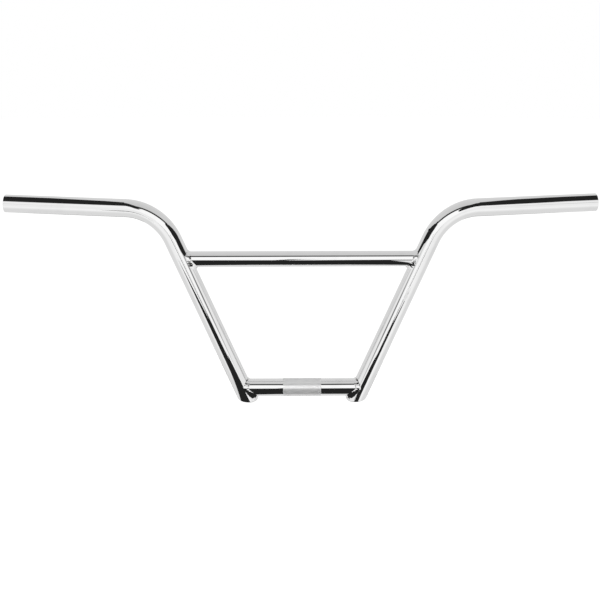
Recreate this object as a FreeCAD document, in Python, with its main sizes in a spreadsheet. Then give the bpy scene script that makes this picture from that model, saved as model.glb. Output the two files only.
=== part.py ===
import FreeCAD, Part
import Sketcher
import math
import os

# BMX handlebar welded from four tubes: two bent side tubes, a crossbar and a clamp tube.
# Millimetres. X runs along the clamp tube, Z is up, and the grips sweep back towards +Y.
# The origin is the middle of the clamp tube, where the stem holds the bar.
# Left and right are as seen from the front, so right is +X.

doc = FreeCAD.newDocument("bmx_handlebar")

# Driving sizes
sizes = doc.addObject("Spreadsheet::Sheet", "Sizes")
driving = [
    ("tube_od", 22.2),          # side tubes and clamp band
    ("tube_wall", 1.5),
    ("cross_od", 19.05),
    ("cross_wall", 1.2),
    ("clamp_wall", 2.2),
    ("clamp_band", 47.0),       # length of the roughened band under the stem
    ("clamp_relief", 0.16),     # how far the plain tube lies under the band
    ("bar_width", 736.6),
    ("bar_rise", 222.25),       # clamp axis to where leg and grip axes cross
    ("back_sweep", 11.0),
    ("up_sweep", 1.0),
    ("bend_radius", 65.0),
    ("leg_lean", 24.5),         # from vertical, outwards
    ("leg_spacing", 147.0),     # between leg axes at the clamp axis
    ("cross_height", 161.0),
    ("leg_drop", 14.2),         # cut end of a leg below the clamp axis
    ("leg_slant", 15.0),        # cut end of a leg, lower in front
    ("weld_leg", 3.2),
    ("weld_flank", 6.2),
    ("weld_heel", 3.4),
    ("weld_crown", 0.9),
    ("weld_hollow", 0.4),
    ("vent_bore", 5.0),
    ("edge_break", 0.5),        # rounding of the outer edges at the tube ends
]
for row, (alias, value) in enumerate(driving, start=1):
    sizes.set(f"A{row}", alias)
    sizes.set(f"B{row}", str(value))
    sizes.setAlias(f"B{row}", alias)
doc.recompute()


def value(alias):
    return float(getattr(sizes, alias))


# Formulas that several pieces share
lean = "(Sizes.leg_lean * 1 deg)"
back = "(Sizes.back_sweep * 1 deg)"
up = "(Sizes.up_sweep * 1 deg)"
foot = "(Sizes.leg_spacing / 2)"
tubeRadius = "(Sizes.tube_od / 2)"
spare = "(2 * Sizes.tube_od)"                      # raw length left on before a cut
bendAngle = f"acos(sin({lean}) * cos({up}) * cos({back}) + cos({lean}) * sin({up}))"
bendTurn = f"atan2(cos({up}) * sin({back}); cos({up}) * cos({back}) * cos({lean}) - sin({up}) * sin({lean}))"
bendTangent = f"(Sizes.bend_radius * tan({bendAngle} / 2))"
legStraight = f"(Sizes.bar_rise / cos({lean}) - {bendTangent})"
gripReach = f"(Sizes.bar_width / 2 - {tubeRadius} * sin({back}) - {foot} - Sizes.bar_rise * tan({lean}))"
gripStraight = f"({gripReach} / (cos({up}) * cos({back})) - {bendTangent})"


def axisDistance(point, base, axis):
    offset = point - base
    return (offset - axis * offset.dot(axis)).Length


def radial(point, base, axis):
    offset = point - base
    normal = offset - axis * offset.dot(axis)
    normal.normalize()
    return normal


def originPlane(body, role):
    return next(f for f in body.Origin.OriginFeatures if f.Role == role)


def tubePath(body, name, side):
    # leg, bend and grip in the bend's own plane, with the leg along the sketch's vertical axis
    path = body.newObject("Sketcher::SketchObject", name)
    path.AttachmentSupport = [(originPlane(body, "XZ_Plane"), "")]
    path.MapMode = "FlatFace"
    tail = 2 * value("tube_od")
    leanNow = math.radians(value("leg_lean"))
    backNow = math.radians(value("back_sweep"))
    upNow = math.radians(value("up_sweep"))
    angle = math.acos(math.sin(leanNow) * math.cos(upNow) * math.cos(backNow) + math.cos(leanNow) * math.sin(upNow))
    radius = value("bend_radius")
    tangent = radius * math.tan(angle / 2)
    straight = value("bar_rise") / math.cos(leanNow) - tangent
    reach = value("bar_width") / 2 - value("tube_od") / 2 * math.sin(backNow)
    reach = reach - value("leg_spacing") / 2 - value("bar_rise") * math.tan(leanNow)
    grip = reach / (math.cos(upNow) * math.cos(backNow)) - tangent

    def at(x, y):
        return FreeCAD.Vector(side * x, y, 0)

    bendEnd = (radius * (1 - math.cos(angle)), straight + radius * math.sin(angle))
    half = angle / 2
    bendMid = (radius * (1 - math.cos(half)), straight + radius * math.sin(half))
    gripEnd = (bendEnd[0] + grip * math.sin(angle), bendEnd[1] + grip * math.cos(angle))
    legLine = path.addGeometry(Part.LineSegment(at(0, -tail), at(0, straight)))
    bendArc = path.addGeometry(Part.Arc(at(0, straight), at(*bendMid), at(*bendEnd)))
    gripLine = path.addGeometry(Part.LineSegment(at(*bendEnd), at(*gripEnd)))
    # an arc's points run anticlockwise, so the right and left bends start at opposite ends
    arcStart = 2 if side > 0 else 1
    arcEnd = 1 if side > 0 else 2
    path.addConstraint(Sketcher.Constraint("PointOnObject", legLine, 1, -2))
    path.addConstraint(Sketcher.Constraint("PointOnObject", legLine, 2, -2))
    path.addConstraint(Sketcher.Constraint("Tangent", legLine, 2, bendArc, arcStart))
    path.addConstraint(Sketcher.Constraint("Tangent", bendArc, arcEnd, gripLine, 1))
    sized = [
        ("tail", Sketcher.Constraint("DistanceY", legLine, 1, -1, 1, tail), spare),
        ("legStraight", Sketcher.Constraint("DistanceY", -1, 1, legLine, 2, straight), legStraight),
        ("bendRadius", Sketcher.Constraint("Radius", bendArc, radius), "Sizes.bend_radius"),
        ("bendAngle", Sketcher.Constraint("Angle", bendArc, angle), bendAngle),
        ("gripStraight", Sketcher.Constraint("Distance", gripLine, grip), gripStraight),
    ]
    for label, constraint, formula in sized:
        index = path.addConstraint(constraint)
        path.renameConstraint(index, label)
        path.setExpression(f"Constraints.{label}", formula)
    return path


def ringSketch(body, name, diameter):
    ring = body.newObject("Sketcher::SketchObject", name)
    ring.AttachmentSupport = [(originPlane(body, "XY_Plane"), "")]
    ring.MapMode = "FlatFace"
    ring.setExpression("AttachmentOffset.Base.z", f"-{spare}")
    circle = ring.addGeometry(Part.Circle(FreeCAD.Vector(0, 0, 0), FreeCAD.Vector(0, 0, 1), value("tube_od") / 2))
    ring.addConstraint(Sketcher.Constraint("Coincident", circle, 3, -1, 1))
    index = ring.addConstraint(Sketcher.Constraint("Diameter", circle, value("tube_od")))
    ring.renameConstraint(index, "diameter")
    ring.setExpression("Constraints.diameter", diameter)
    return ring


def bentRod(name, side, diameter):
    # a solid rod along the side tube's bend line, still uncut at the lower end
    body = doc.addObject("PartDesign::Body", name)
    body.Label = name
    path = tubePath(body, name + "_path", side)
    section = ringSketch(body, name + "_section", diameter)
    doc.recompute()
    rod = body.newObject("PartDesign::AdditivePipe", name + "_pipe")
    rod.Profile = section
    rod.Spine = (path, [])
    body.Tip = rod
    turnLean = f"rotation(vector(0; 1; 0); {side} * {lean})"
    turnBack = f"rotation(vector(0; 0; 1); {side} * {bendTurn})"
    body.setExpression("Placement", f"placement(vector({side} * {foot}; 0; 0); {turnLean} * {turnBack})")
    doc.recompute()
    return body


def crossRod(name, radius, length, height):
    # a solid rod along X, centred on the bar
    rod = doc.addObject("Part::Cylinder", name)
    rod.Label = name
    rod.setExpression("Radius", radius)
    rod.setExpression("Height", length)
    rod.setExpression("Placement", f"placement(vector(-{length} / 2; 0; {height}); rotation(vector(0; 1; 0); 90 deg))")
    return rod


def fuse(name, pieces):
    whole = doc.addObject("Part::MultiFuse", name)
    whole.Label = name
    whole.Shapes = pieces
    return whole


def cut(name, base, tool):
    result = doc.addObject("Part::Cut", name)
    result.Label = name
    result.Base = base
    result.Tool = tool
    return result


def outerEndEdges(shape, side):
    # numbers of the outer edges at the sawn leg end and at the grip end: closed rings that lie on the tube's outside
    radius = value("tube_od") / 2
    leanNow = math.radians(value("leg_lean"))
    legFoot = FreeCAD.Vector(side * value("leg_spacing") / 2, 0, 0)
    legAxis = FreeCAD.Vector(side * math.sin(leanNow), 0, math.cos(leanNow))
    found = []
    for number, edge in enumerate(shape.Edges, start=1):
        points = edge.discretize(9)
        onLeg = all(abs(axisDistance(p, legFoot, legAxis) - radius) < 0.01 for p in points)
        below = all(p.z < -value("leg_drop") / 2 for p in points)
        outside = edge.isClosed() and abs(edge.Length - 2 * math.pi * radius) < 0.01
        atGrip = outside and all(abs(p.x) > value("bar_width") / 2 - radius for p in points)
        if (onLeg and below) or atGrip:
            found.append(number)
    return found


# Lower end of both legs: one slanted saw cut, parallel to the clamp tube and lower in front
legTrim = doc.addObject("Part::Box", "leg_trim")
legTrim.Label = "leg_trim"
legTrim.setExpression("Length", "2 * Sizes.leg_spacing")
legTrim.setExpression("Width", "8 * Sizes.tube_od")
legTrim.setExpression("Height", "8 * Sizes.tube_od")
trimTurn = "placement(vector(0; 0; -Sizes.leg_drop); rotation(vector(1; 0; 0); Sizes.leg_slant * 1 deg))"
trimShift = "placement(vector(-Sizes.leg_spacing; -4 * Sizes.tube_od; -8 * Sizes.tube_od); rotation(vector(0; 0; 1); 0 deg))"
legTrim.setExpression("Placement", f"{trimTurn} * {trimShift}")

# Vent holes through the legs' inner walls, hidden inside the cross tubes, which let plating liquid drain
legAtCross = f"({foot} + Sizes.cross_height * tan({lean}))"
vents = {}
for side, word in ((1, "right"), (-1, "left")):
    for level, height, reach in (("cross", "Sizes.cross_height", legAtCross), ("clamp", "0", foot)):
        vent = doc.addObject("Part::Cylinder", f"{word}_{level}_vent")
        vent.Label = f"{word}_{level}_vent"
        vent.setExpression("Radius", "Sizes.vent_bore / 2")
        vent.setExpression("Height", "Sizes.tube_od")
        turn = f"rotation(vector(0; 1; 0); {-side} * 90 deg)"
        vent.setExpression("Placement", f"placement(vector({side} * {reach}; 0; {height}); {turn})")
        vents[word, level] = vent

# Side tubes: bored along the bend, sawn off below, vented at the joints and broken at the sharp outer edges
sideRods = {}
sideTubes = {}
for side, word in ((1, "right"), (-1, "left")):
    sideRods[word] = bentRod(f"{word}_tube_rod", side, "Sizes.tube_od")
    bore = bentRod(f"{word}_tube_bore", side, "Sizes.tube_od - 2 * Sizes.tube_wall")
    tool = fuse(f"{word}_tube_cuts", [bore, legTrim, vents[word, "cross"], vents[word, "clamp"]])
    sawn = cut(f"{word}_tube_sawn", sideRods[word], tool)
    doc.recompute()
    smooth = doc.addObject("Part::Fillet", f"{word}_side_tube")
    smooth.Label = f"{word}_side_tube"
    smooth.Base = sawn
    smooth.Edges = [(number, value("edge_break"), value("edge_break")) for number in outerEndEdges(sawn.Shape, side)]
    sideTubes[word] = smooth
bothRods = fuse("both_tube_rods", [sideRods["left"], sideRods["right"]])

# Crossbar, coped to the legs at both ends
crossLength = f"(2 * {legAtCross})"
crossRodOuter = crossRod("crossbar_rod", "Sizes.cross_od / 2", crossLength, "Sizes.cross_height")
crossRodBore = crossRod("crossbar_bore", "Sizes.cross_od / 2 - Sizes.cross_wall", crossLength, "Sizes.cross_height")
crossTools = fuse("crossbar_cuts", [crossRodBore, bothRods])
crossbar = cut("crossbar_tube", crossRodOuter, crossTools)

# Clamp tube, coped the same way, with the roughened band standing proud in the middle
plainRadius = f"({tubeRadius} - Sizes.clamp_relief)"
clampLength = "Sizes.leg_spacing"
clampRod = crossRod("clamp_rod", plainRadius, clampLength, "0")
clampBand = crossRod("clamp_band_rod", tubeRadius, "Sizes.clamp_band", "0")
clampOuter = fuse("clamp_outside", [clampRod, clampBand])
clampBore = crossRod("clamp_bore", f"{tubeRadius} - Sizes.clamp_wall", clampLength, "0")
clampTools = fuse("clamp_cuts", [clampBore, bothRods])
clampTube = cut("clamp_tube", clampOuter, clampTools)


def saddleBead(side, branchRadius, height, sections):
    # weld metal round the saddle curve where a cross tube meets a leg, lofted round the joint.
    # Each section runs from a toe on the leg to a toe on the cross tube and back through the root.
    # It is a hollow fillet above and below, and a full cap on the flanks, where the tubes lie almost flush.
    leanNow = math.radians(value("leg_lean"))
    legRadius = value("tube_od") / 2
    width = value("weld_leg")
    sink = 0.02 * width                             # toes start just under the surfaces
    legAxis = FreeCAD.Vector(math.sin(leanNow), 0, math.cos(leanNow))
    legFoot = FreeCAD.Vector(value("leg_spacing") / 2, 0, 0)
    inward = FreeCAD.Vector(-1, 0, 0)
    wires = []
    for step in range(sections):
        turn = 2 * math.pi * step / sections
        branchNormal = FreeCAD.Vector(0, math.cos(turn), math.sin(turn))
        y = branchRadius * branchNormal.y
        z = height + branchRadius * branchNormal.z
        depth = math.sqrt(legRadius ** 2 - y ** 2) / math.cos(leanNow)
        saddle = FreeCAD.Vector(legFoot.x + z * math.tan(leanNow) - depth, y, z)
        legNormal = radial(saddle, legFoot, legAxis)
        alongLeg = branchNormal - legNormal * branchNormal.dot(legNormal)
        alongLeg.normalize()
        flank = branchNormal.y ** 2
        corner = 4 * flank * min(0, branchNormal.z) ** 2
        onLeg = width * (1 - flank) + 0.4 * width * flank + value("weld_heel") * corner
        onBranch = width * (1 - flank) + value("weld_flank") * flank
        bulge = value("weld_crown") * flank ** 2 - value("weld_hollow") * (1 - flank ** 2)
        legToe = saddle + alongLeg * onLeg
        legToe = legToe - radial(legToe, legFoot, legAxis) * (axisDistance(legToe, legFoot, legAxis) - legRadius + sink)
        branchToe = saddle + inward * onBranch - branchNormal * sink
        outward = legNormal + branchNormal
        outward.normalize()
        middle = (legToe + branchToe) * 0.5 + outward * bulge
        root = saddle - outward * (0.5 * width)
        face = Part.BSplineCurve()
        face.interpolate([legToe, middle, branchToe])
        branchFlank = Part.makeLine(branchToe, root)
        legFlank = Part.makeLine(root, legToe)
        wires.append(Part.Wire([face.toShape(), branchFlank, legFlank]))
    bead = Part.makeLoft(wires, True, False, True)
    if side < 0:
        bead = bead.mirror(FreeCAD.Vector(0, 0, 0), FreeCAD.Vector(1, 0, 0))
    return bead


# Weld beads
joints = {
    "crossbar": (value("cross_od") / 2, value("cross_height"), crossRodOuter),
    "clamp": (value("tube_od") / 2 - value("clamp_relief"), 0.0, clampRod),
}
sectionCount = 32
welds = {}
for level, (branchRadius, height, branchRod) in joints.items():
    for side, word in ((1, "right"), (-1, "left")):
        blank = doc.addObject("Part::Feature", f"{word}_{level}_bead")
        blank.Label = f"{word}_{level}_bead"
        blank.Shape = saddleBead(side, branchRadius, height, sectionCount)
        blank.Placement = FreeCAD.Placement()
        tools = [branchRod, sideRods[word]]
        if level == "clamp":
            tools.append(legTrim)
        dress = fuse(f"{word}_{level}_bead_cuts", tools)
        welds[level, word] = cut(f"{level}_weld_{word}", blank, dress)

doc.recompute()

subParts = [sideTubes["left"], sideTubes["right"], crossbar, clampTube]
subParts += [welds[level, word] for level in ("crossbar", "clamp") for word in ("left", "right")]

for item in doc.Objects:
    if "Invalid" in item.State or "Error" in item.State:
        raise RuntimeError(f"{item.Label} did not recompute: {item.State}")
for item in subParts:
    if item.Shape.isNull() or not item.Shape.isValid():
        raise RuntimeError(f"{item.Label} has no valid shape")
    if len(item.Shape.Solids) != 1:
        raise RuntimeError(f"{item.Label} is {len(item.Shape.Solids)} solids instead of one")

os.makedirs("parts", exist_ok=True)
for item in subParts:
    item.Shape.exportStep(f"parts/{item.Label}.step")
    box = item.Shape.BoundBox
    print(f"{item.Label}: {item.Shape.Volume:.1f} mm3, x {box.XMin:.2f}..{box.XMax:.2f}, "
          f"y {box.YMin:.2f}..{box.YMax:.2f}, z {box.ZMin:.2f}..{box.ZMax:.2f}")
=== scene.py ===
import math
import bpy
import bmesh
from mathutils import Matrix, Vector


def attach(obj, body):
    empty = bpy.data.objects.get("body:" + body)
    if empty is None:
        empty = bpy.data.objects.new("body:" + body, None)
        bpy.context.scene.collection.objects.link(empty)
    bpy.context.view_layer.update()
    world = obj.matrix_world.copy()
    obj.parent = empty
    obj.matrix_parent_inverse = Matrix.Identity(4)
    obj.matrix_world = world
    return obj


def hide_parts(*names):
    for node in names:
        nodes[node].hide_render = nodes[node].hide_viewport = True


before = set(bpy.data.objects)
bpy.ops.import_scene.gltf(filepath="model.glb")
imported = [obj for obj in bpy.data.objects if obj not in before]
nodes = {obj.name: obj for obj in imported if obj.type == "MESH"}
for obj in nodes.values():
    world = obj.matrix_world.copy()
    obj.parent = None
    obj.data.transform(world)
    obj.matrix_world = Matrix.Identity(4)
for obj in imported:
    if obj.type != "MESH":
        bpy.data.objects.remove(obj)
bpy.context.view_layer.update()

scene = bpy.context.scene
scene.view_settings.view_transform = "Standard"


class Link:  # one output socket; sums and products of links add Math nodes
    def __init__(self, tree, socket):
        self.tree = tree
        self.socket = socket

    def math(self, operation, *terms):
        return self.tree.add("ShaderNodeMath", {"operation": operation}, dict(enumerate(terms)))

    def __add__(self, other):
        return self.math("ADD", self, other)

    def __radd__(self, other):
        return self.math("ADD", other, self)

    def __sub__(self, other):
        return self.math("SUBTRACT", self, other)

    def __rsub__(self, other):
        return self.math("SUBTRACT", other, self)

    def __mul__(self, other):
        return self.math("MULTIPLY", self, other)

    def __rmul__(self, other):
        return self.math("MULTIPLY", other, self)

    def __abs__(self):
        return self.math("ABSOLUTE", self)

    def __gt__(self, other):
        return self.math("GREATER_THAN", self, other)

    def __lt__(self, other):
        return self.math("LESS_THAN", self, other)


class Tree:  # the nodes of one material or world
    def __init__(self, owner):
        owner.use_nodes = True
        self.nodes = owner.node_tree.nodes
        self.links = owner.node_tree.links
        self.nodes.clear()

    def add(self, kind, settings=None, sockets=None, output=0):
        made = self.nodes.new(kind)
        for name, setting in (settings or {}).items():
            setattr(made, name, setting)
        for key, item in (sockets or {}).items():
            if isinstance(item, Link):
                self.links.new(item.socket, made.inputs[key])
            else:
                made.inputs[key].default_value = item
        return Link(self, made.outputs[output]) if len(made.outputs) else None

    def outputs(self, first, *names):  # several outputs of the node that a link comes from
        return [Link(self, first.socket.node.outputs[name]) for name in names]

    def split(self, vector):
        return self.outputs(self.add("ShaderNodeSeparateXYZ", None, {"Vector": vector}), "X", "Y", "Z")

    def rays(self):
        return self.outputs(self.add("ShaderNodeLightPath"), "Is Camera Ray", "Is Glossy Ray")

    def noise(self, place, scale, detail, roughness=0.5):
        grain = {"Vector": place, "Scale": scale, "Detail": detail, "Roughness": roughness}
        return self.add("ShaderNodeTexNoise", None, grain)

    def rise(self, value, low, high):  # 0 below low, 1 above high, smooth between
        spread = {"Value": value, "From Min": low, "From Max": high}
        return self.add("ShaderNodeMapRange", {"interpolation_type": "SMOOTHSTEP"}, spread)

    def band(self, value, low, high, soft):  # 1 between low and high
        return self.rise(value, low - soft, low + soft) * (1 - self.rise(value, high - soft, high + soft))


def grey(shade):
    return (shade, shade, shade, 1)


# Handlebar sizes in metres, as in the frame
bar = {
    "legRadius": 0.0111,
    "boreRadius": 0.0096,
    "legFoot": 0.0735,  # from the middle to a leg's axis at clamp height
    "legLean": 24.5,
    "clampRadius": 0.01094,
    "crossRadius": 0.009525,
    "crossHeight": 0.161,
    "gripStart": (0.17478, 0.0, 0.22225),
    "gripEnd": (0.36618, 0.03720, 0.22565),
}
lean = math.radians(bar["legLean"])


# Chrome over polished tube, and the bare steel inside the open ends
chrome = {
    "shade": 0.93, "gloss": 0.022,
    "smudge": 0.035, "smudgeShade": 0.05, "smudgeRange": (0.5, 0.78),
    "smudgeNoise": (34.0, 5.0, 0.62),  # scale, detail, roughness
    "wipe": 0.01, "wipeShade": 0.02, "wipeNoise": (210.0, 3.0),
    "peel": 0.012, "peelDepth": 0.0002, "peelNoise": (420.0, 1.0),
}
bore = {
    "shade": 0.24, "roughness": 0.46, "edge": 0.0002, "gripFrom": 0.27, "legTo": 0.09,
    "speckShade": 0.12, "speckRoughness": 0.2, "speckNoise": (900.0, 4.0),
}


def newMaterial(name):
    material = bpy.data.materials.new(name)
    tree = Tree(material)
    return material, tree, tree.add("ShaderNodeTexCoord", output="Object")


def chromeLayers(tree, place):
    smudge = tree.noise(place, *chrome["smudgeNoise"])
    wipe = tree.noise(place, *chrome["wipeNoise"])
    smear = tree.rise(smudge, *chrome["smudgeRange"])
    roughness = chrome["gloss"] + chrome["smudge"] * smear + chrome["wipe"] * wipe
    shade = chrome["shade"] - chrome["smudgeShade"] * smear - chrome["wipeShade"] * wipe
    peel = tree.noise(place, *chrome["peelNoise"])
    return shade, roughness, peel


def finishSurface(tree, shade, roughness, height, depth, strength, metal=1.0):
    colour = tree.add("ShaderNodeCombineColor", None, {"Red": shade, "Green": shade, "Blue": shade})
    bump = tree.add("ShaderNodeBump", None, {"Height": height, "Distance": depth, "Strength": strength})
    finish = {"Base Color": colour, "Roughness": roughness, "Metallic": metal, "Normal": bump}
    surface = tree.add("ShaderNodeBsdfPrincipled", None, finish)
    tree.add("ShaderNodeOutputMaterial", None, {"Surface": surface})


def sideTubeChrome(name, side):
    material, tree, place = newMaterial(name)
    shade, roughness, peel = chromeLayers(tree, place)
    across, _, height = tree.split(place)
    mirror = Vector((side, 1, 1))
    gripEnd = Vector(bar["gripEnd"]) * mirror
    gripAxis = (gripEnd - Vector(bar["gripStart"]) * mirror).normalized()
    legFoot = Vector((side * bar["legFoot"], 0, 0))
    legAxis = Vector((side * math.sin(lean), 0, math.cos(lean)))
    inside = 0
    ends = [(gripEnd, gripAxis, across * side > bore["gripFrom"]), (legFoot, legAxis, height < bore["legTo"])]
    for point, axis, near in ends:
        arm = tree.add("ShaderNodeVectorMath", {"operation": "SUBTRACT"}, {0: place, 1: point})
        cross = tree.add("ShaderNodeVectorMath", {"operation": "CROSS_PRODUCT"}, {0: arm, 1: axis})
        reach = tree.add("ShaderNodeVectorMath", {"operation": "LENGTH"}, {0: cross}, output="Value")
        inside = inside + (reach < bar["boreRadius"] + bore["edge"]) * near
    speck = tree.noise(place, *bore["speckNoise"])
    shade = shade * (1 - inside) + (bore["shade"] + bore["speckShade"] * speck) * inside
    roughness = roughness * (1 - inside) + (bore["roughness"] + bore["speckRoughness"] * speck) * inside
    finishSurface(tree, shade, roughness, peel, chrome["peelDepth"], chrome["peel"])
    return material


def plainChrome(name):
    material, tree, place = newMaterial(name)
    shade, roughness, peel = chromeLayers(tree, place)
    finishSurface(tree, shade, roughness, peel, chrome["peelDepth"], chrome["peel"])
    return material


# Roughened band for the stem in the middle of the clamp tube
clampBand = {
    "half": 0.0235, "shade": 0.95, "roughness": 0.32, "metal": 0.62,
    "grain": 0.10, "gritNoise": (2600.0, 3.0, 0.7),
    "patchShade": 0.10, "patchRoughness": 0.08, "patchNoise": (120.0, 3.0),
    "peel": 0.1, "depth": 0.0001, "bump": 0.12,
}


def clampChrome(name):
    material, tree, place = newMaterial(name)
    shade, roughness, peel = chromeLayers(tree, place)
    across = tree.split(place)[0]
    grit = tree.noise(place, *clampBand["gritNoise"])
    patch = tree.noise(place, *clampBand["patchNoise"])
    band = abs(across) < clampBand["half"]
    bandShade = clampBand["shade"] - clampBand["patchShade"] * patch - clampBand["grain"] * grit
    bandRoughness = clampBand["roughness"] + clampBand["patchRoughness"] * patch
    shade = shade * (1 - band) + bandShade * band
    roughness = roughness * (1 - band) + bandRoughness * band
    texture = peel * (1 - band) * clampBand["peel"] + grit * band
    metal = 1 - (1 - clampBand["metal"]) * band
    finishSurface(tree, shade, roughness, texture, clampBand["depth"], clampBand["bump"], metal)
    return material


def dress(name, material):
    nodes[name].material_slots[0].material = material


dress("left_side_tube", sideTubeChrome("leftTubeChrome", -1))
dress("right_side_tube", sideTubeChrome("rightTubeChrome", 1))
dress("crossbar_tube", plainChrome("crossbarChrome"))
dress("clamp_tube", clampChrome("clampTubeChrome"))
print("tubes plated")

# Weld beads: a stack of coins round each saddle curve
bead = {
    "leg": 0.0032, "flankLeg": 0.0013, "flankBranch": 0.0062, "heel": 0.0034,
    "hollow": 0.0004, "crown": 0.0009, "sink": 0.00020, "root": 0.0016,
    "pitch": 0.0021, "stretch": 1.08, "ripple": 0.00009, "bow": 0.55,
    "drift": 0.05, "waveWidth": 0.05, "driftWidth": 0.4,
    "steps": 6, "ring": 16, "seam": 0.000001,
}


def beadSection(radius, height, turn):
    legAxis = Vector((math.sin(lean), 0, math.cos(lean)))
    legFoot = Vector((bar["legFoot"], 0, 0))

    def fromLeg(point):
        arm = point - legFoot
        return arm - legAxis * arm.dot(legAxis)

    branchNormal = Vector((0, math.cos(turn), math.sin(turn)))
    y = radius * branchNormal.y
    z = height + radius * branchNormal.z
    depth = math.sqrt(bar["legRadius"] ** 2 - y ** 2) / math.cos(lean)
    saddle = Vector((legFoot.x + z * math.tan(lean) - depth, y, z))
    legNormal = fromLeg(saddle).normalized()
    alongLeg = (branchNormal - legNormal * branchNormal.dot(legNormal)).normalized()
    flank = branchNormal.y ** 2  # one where the two tubes lie almost flush, at the front and the back
    corner = 4 * flank * min(0, branchNormal.z) ** 2  # one half way down to the sharp corner below
    fillet = bead["leg"] * (1 - flank)
    legToe = saddle + alongLeg * (fillet + bead["flankLeg"] * flank + bead["heel"] * corner)
    seat = bar["legRadius"] - bead["sink"] - fromLeg(legToe).length
    legToe = legToe + fromLeg(legToe).normalized() * seat
    branchToe = saddle - Vector((fillet + bead["flankBranch"] * flank, 0, 0)) - branchNormal * bead["sink"]
    outward = (legNormal + branchNormal).normalized()
    crown = bead["crown"] * flank ** 2 - bead["hollow"] * (1 - flank ** 2)
    return legToe, branchToe, outward, crown


def weldBead(side, radius, height):
    coins = round(2 * math.pi * radius * bead["stretch"] / bead["pitch"])
    bm = bmesh.new()
    bmesh.ops.create_grid(bm, x_segments=coins * bead["steps"], y_segments=bead["ring"], size=0.5)
    for vert in bm.verts:  # the sheet is wrapped round the section and round the joint
        along = vert.co.x + 0.5
        across = math.cos(2 * math.pi * vert.co.y)
        rise = math.sin(2 * math.pi * vert.co.y)
        arch = 1 - across ** 2 if rise > 0 else 0
        turn = 2 * math.pi * (along + bead["bow"] * arch / coins)
        legToe, branchToe, outward, crown = beadSection(radius, height, turn)
        wave = abs(math.sin(math.pi * coins * along))
        drift = bead["drift"] * math.sin(5 * turn) + bead["drift"] * math.sin(3 * turn + 1)  # uneven hand
        depth = crown * arch if rise > 0 else bead["root"] * rise
        depth += bead["ripple"] * (wave - 0.5 + 2 * drift)
        across *= 1 + bead["waveWidth"] * (wave - 0.6) + bead["driftWidth"] * drift
        spot = (legToe + branchToe) / 2 + (branchToe - legToe) / 2 * across + outward * depth
        vert.co = spot * Vector((side, 1, 1))
    bmesh.ops.remove_doubles(bm, verts=bm.verts, dist=bead["seam"])
    bmesh.ops.recalc_face_normals(bm, faces=bm.faces)
    for face in bm.faces:
        face.smooth = True
    return bm


def addObject(name, bm, material):
    mesh = bpy.data.meshes.new(name)
    bm.to_mesh(mesh)
    bm.free()
    mesh.materials.append(material)
    made = bpy.data.objects.new(name, mesh)
    scene.collection.objects.link(made)
    return made


weldChrome = plainChrome("weldChrome")
joins = [("crossbar", bar["crossRadius"], bar["crossHeight"]), ("clamp", bar["clampRadius"], 0.0)]
for word, side in (("left", -1), ("right", 1)):
    for level, radius, height in joins:
        piece = addObject(f"{level}Bead.{word}", weldBead(side, radius, height), weldChrome)
        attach(piece, "root")
        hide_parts(f"{level}_weld_{word}")
print("welds laid")

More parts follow.
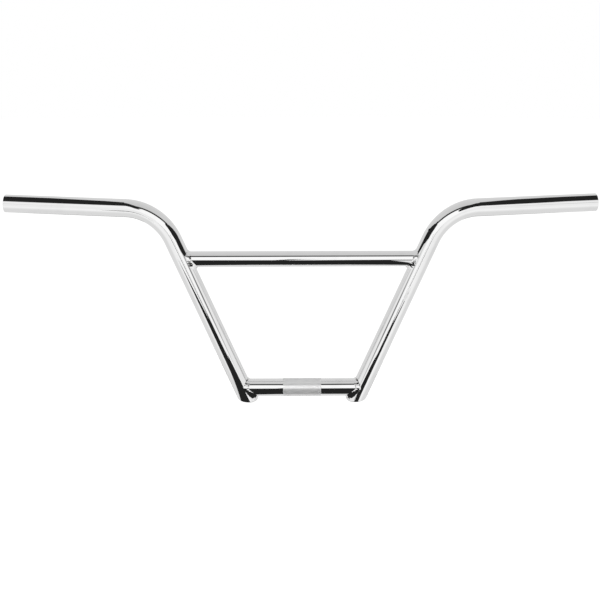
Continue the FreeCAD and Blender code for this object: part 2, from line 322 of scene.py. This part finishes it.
# Studio cards that only the chrome sees, each from one side
cardShade = {"dark": 0.018, "pale": 0.66, "light": 0.82}
cards = [  # name, shade, the plane it lies in and where, the way it faces, corners in that plane
    ("leftFlag", "dark", "z", 0.724, -1, [  # over the left grip and bend
        (-0.27, -0.62), (-0.27, -0.50), (-0.29, -0.375), (-0.318, -0.25), (-0.335, -0.17), (-0.362, 0.07),
        (-0.43, 0.23), (-0.80, 0.23), (-0.80, -0.25), (-0.63, -0.36), (-0.55, -0.47), (-0.545, -0.577),
        (-0.54, -0.77), (-0.58, -1.00), (-0.64, -1.31), (-0.53, -1.35), (-0.45, -1.05), (-0.39, -0.86),
        (-0.31, -0.72),
    ]),
    ("rightFlag", "dark", "z", 0.724, -1, [  # over the right grip and bend
        (0.31, -0.86), (0.315, -0.60), (0.345, -0.42), (0.38, -0.28), (0.402, -0.16), (0.40, 0.0),
        (0.41, 0.10), (0.47, 0.19), (0.60, 0.21), (0.745, 0.21), (0.745, -0.50), (0.81, -0.75),
        (0.81, -0.95), (0.85, -1.25), (0.90, -1.50), (1.00, -2.00), (1.00, -2.35), (0.80, -2.15),
        (0.55, -1.55), (0.43, -1.22),
    ]),
    ("tableFlag", "dark", "z", -0.11, 1, [  # below, wider towards the camera
        (-0.20, 0.05), (-0.26, -0.18), (-0.565, -0.535), (-0.36, -0.74), (-0.22, -0.90), (-0.20, -1.10),
        (-1.05, -2.70), (-0.40, -2.00), (-0.03, -1.22), (0.0, -1.08), (0.05, -1.10), (0.09, -1.22),
        (0.42, -2.00), (1.05, -2.70), (0.20, -1.10), (0.23, -0.92), (0.28, -0.85), (0.45, -0.66),
        (0.33, -0.52), (0.18, -0.235), (0.15, -0.012), (-0.03, -0.004),
    ]),
    ("rearFlag", "dark", "z", -0.40, 1, [  # behind the bar
        (-0.55, 0.9), (0.55, 0.9), (0.5, 1.7), (0.25, 2.3), (-0.25, 2.3), (-0.5, 1.7),
    ]),
    ("endPale", "light", "z", 0.10, 1, [  # under the crossbar's right end
        (0.120, -0.170), (0.1265, -0.100), (0.131, -0.075), (0.1355, -0.052), (0.138, -0.040),
        (0.150, -0.040), (0.160, -0.170),
    ]),
    ("standFlag", "dark", "y", -2.2, 1, [  # upright by the camera
        (-0.035, -0.45), (0.000, -0.40), (0.045, 0.10), (0.100, 0.235), (0.030, 0.265), (0.010, 0.15),
    ]),
    ("leftSheet", "dark", "x", -0.09, -1, [  # upright, seen by the left leg
        (-0.105, 0.185), (-0.055, 0.181), (-0.008, 0.184), (-0.010, 0.222), (-0.022, 0.242), (-0.045, 0.264),
        (-0.080, 0.279), (-0.150, 0.295), (-0.195, 0.290), (-0.165, 0.220), (-0.115, 0.202),
    ]),
    ("leftPale", "pale", "x", -0.09, -1, [
        (-0.010, 0.222), (-0.022, 0.242), (-0.045, 0.264), (-0.065, 0.273), (-0.045, 0.288), (-0.060, 0.310),
        (-0.080, 0.345), (-0.100, 0.390), (-0.100, 0.600), (0.050, 0.600), (0.050, 0.222),
    ]),
    ("rightSheet", "dark", "x", 0.012, 1, [  # upright, seen by the right leg
        (-0.050, 0.211), (0.012, 0.211), (0.000, 0.240), (0.000, 0.288), (-0.030, 0.318), (-0.075, 0.346),
        (-0.300, 0.376), (-0.310, 0.310), (-0.250, 0.250), (-0.225, 0.229), (-0.100, 0.226),
    ]),
    ("rightPale", "pale", "x", 0.012, 1, [
        (0.000, 0.288), (-0.030, 0.318), (-0.075, 0.346), (-0.100, 0.349), (-0.100, 0.380),
        (-0.125, 0.430), (-0.200, 0.600), (0.060, 0.600), (0.060, 0.288),
    ]),
]


def addStage(name, bm, material):
    made = addObject(name, bm, material)
    return made


def oneSided(tree, front):  # clear from behind
    behind = tree.add("ShaderNodeNewGeometry", output="Backfacing")
    clear = tree.add("ShaderNodeBsdfTransparent")
    either = tree.add("ShaderNodeMixShader", None, {0: behind, 1: front, 2: clear})
    tree.add("ShaderNodeOutputMaterial", None, {"Surface": either})


def cardCloth(name, shade):
    made = bpy.data.materials.new(name)
    tree = Tree(made)
    oneSided(tree, tree.add("ShaderNodeEmission", None, {"Color": grey(shade), "Strength": 1.0}))
    return made


def addCard(name, cloth, plane, at, facing, corners):
    axis = "xyz".index(plane)
    bm = bmesh.new()
    face = bm.faces.new([bm.verts.new(corner[:axis] + (at,) + corner[axis:]) for corner in corners])
    face.normal_update()
    if face.normal[axis] * facing < 0:
        face.normal_flip()
    card = addStage(name, bm, cloth)
    card.visible_camera = False
    card.visible_diffuse = False
    card.visible_shadow = False
    card.visible_transmission = False


cloths = {level: cardCloth(f"{level}Cloth", shade) for level, shade in cardShade.items()}
for name, level, plane, at, facing, corners in cards:
    addCard(name, cloths[level], plane, at, facing, corners)

# Floor paper: white to the camera; in the chrome it shows painted light and shade, brighter far in front and
# darker near and behind the bar and towards the sides; clear from below
# near, far and their range: painted shade near and behind the bar, painted light far in front; the next two
# give painted shade towards the sides; all seen only in the chrome
floor = {
    "height": -0.60, "radius": 14.0, "sides": 96, "paper": 0.8, "glow": 1.0,
    "near": 0.75, "far": 0.99, "farRange": (0.1, 1.1), "paintedSideShade": 0.35, "paintedSideShadeRange": (0.8, 1.6),
}
paper, tree, place = newMaterial("floorPaper")
across, ahead, _ = tree.split(place)
# painted shade towards the sides and painted light far in front, for glossy rays only
paintedSideShade = 1 - floor["paintedSideShade"] * tree.rise(abs(across), *floor["paintedSideShadeRange"])
shade = floor["near"] + (floor["far"] - floor["near"]) * tree.rise(ahead * -1, *floor["farRange"]) * paintedSideShade
cameraRay, glossyRay = tree.rays()
matte = tree.add("ShaderNodeBsdfDiffuse", None, {"Color": grey(floor["paper"])})
glow = tree.add("ShaderNodeEmission", None, {"Color": grey(1.0), "Strength": cameraRay * floor["glow"]})
lit = tree.add("ShaderNodeAddShader", None, {0: matte, 1: glow})
# emission that carries the floor's painted light and shade, shown only to glossy rays
mirroredPaintedShade = tree.add("ShaderNodeEmission", None, {"Color": grey(1.0), "Strength": shade})
oneSided(tree, tree.add("ShaderNodeMixShader", None, {0: glossyRay, 1: lit, 2: mirroredPaintedShade}))
bm = bmesh.new()
bmesh.ops.create_circle(bm, cap_ends=True, segments=floor["sides"], radius=floor["radius"])
bmesh.ops.translate(bm, vec=(0, 0, floor["height"]), verts=bm.verts)
addStage("floor", bm, paper)

# White room: walls, a greyer ceiling behind a dark seam, and a dark seam at the sides of the front panel
room = {
    "ambient": 0.14, "wall": 1.04, "side": 0.87, "sideRange": (0.7, 1.5),  # times the panel's angle
    "ceiling": 0.63, "lift": 0.09, "liftRange": (1.0, 2.8),
    "seam": (36.5, 53.0), "seamDark": 0.97, "seamSoft": 0.02, "seamEnd": (0.85, 1.1),
    "panel": 25.0, "panelSlope": 1.75, "panelDark": 0.9, "panelHalf": 0.055, "panelSoft": 0.02,
    "panelHeight": (0.07, 0.20), "panelFade": 0.08,
}
world = bpy.data.worlds.new("room")
scene.world = world
tree = Tree(world)
across, ahead, above = tree.split(tree.add("ShaderNodeTexCoord", output="Generated"))
low, high = (math.radians(angle) for angle in room["seam"])
edge = math.radians(room["panel"])
pitch = above.math("ARCTAN2", above, ahead * -1)
azimuth = abs(across.math("ARCTAN2", across, ahead * -1))
sideways = tree.rise(azimuth, *(edge * share for share in room["sideRange"]))
wall = room["wall"] - (room["wall"] - room["side"]) * sideways
overhead = tree.rise(pitch, low, high)
seam = tree.band(pitch, low, high, room["seamSoft"]) * (1 - tree.rise(azimuth, *room["seamEnd"]))
slant = azimuth - room["panelSlope"] * above
panelSeam = tree.band(slant, edge - room["panelHalf"], edge + room["panelHalf"], room["panelSoft"])
panelSeam = panelSeam * tree.band(above, *room["panelHeight"], room["panelFade"])
ceiling = room["ceiling"] + room["lift"] * tree.rise(pitch, *room["liftRange"])
level = wall * (1 - overhead) + ceiling * overhead
level = level * (1 - room["seamDark"] * seam) * (1 - room["panelDark"] * panelSeam)
cameraRay, glossyRay = tree.rays()
strength = cameraRay + (1 - cameraRay) * (glossyRay * level + (1 - glossyRay) * room["ambient"])
sky = tree.add("ShaderNodeBackground", None, {"Color": grey(1.0), "Strength": strength})
tree.add("ShaderNodeOutputWorld", None, {"Surface": sky})

# Softbox in front, for the dull band only: the chrome does not mirror it
box = {"width": 1.6, "height": 0.8, "energy": 36, "place": (0.1, -1.9, 0.3), "aim": (0, 0, 0)}
lamp = bpy.data.lights.new("softbox", "AREA")
lamp.shape = "RECTANGLE"
lamp.size = box["width"]
lamp.size_y = box["height"]
lamp.energy = box["energy"]
softbox = bpy.data.objects.new("softbox", lamp)
softbox.location = box["place"]
softbox.rotation_euler = (Vector(box["aim"]) - softbox.location).to_track_quat("-Z", "Y").to_euler()
softbox.visible_glossy = False
softbox.visible_camera = False
scene.collection.objects.link(softbox)
print("studio lit")

# Camera where the photograph was taken from
view = {
    "target": (-0.0021, 0.0182, 0.1065), "azimuth": 1.1, "elevation": 9.68, "distance": 2.2,
    "lens": 106.33, "sensor": 36, "reach": 60,
}
lens = bpy.data.cameras.new("camera")
lens.sensor_width = view["sensor"]
lens.lens = view["lens"]
lens.clip_end = view["reach"]
camera = bpy.data.objects.new("camera", lens)
scene.collection.objects.link(camera)
azimuth, elevation = math.radians(view["azimuth"]), math.radians(view["elevation"])
flat = math.cos(elevation)
sight = Vector((math.sin(azimuth) * flat, math.cos(azimuth) * flat, -math.sin(elevation)))
camera.location = Vector(view["target"]) - sight * view["distance"]
camera.rotation_euler = sight.to_track_quat("-Z", "Y").to_euler()
scene.camera = camera
print("camera placed")
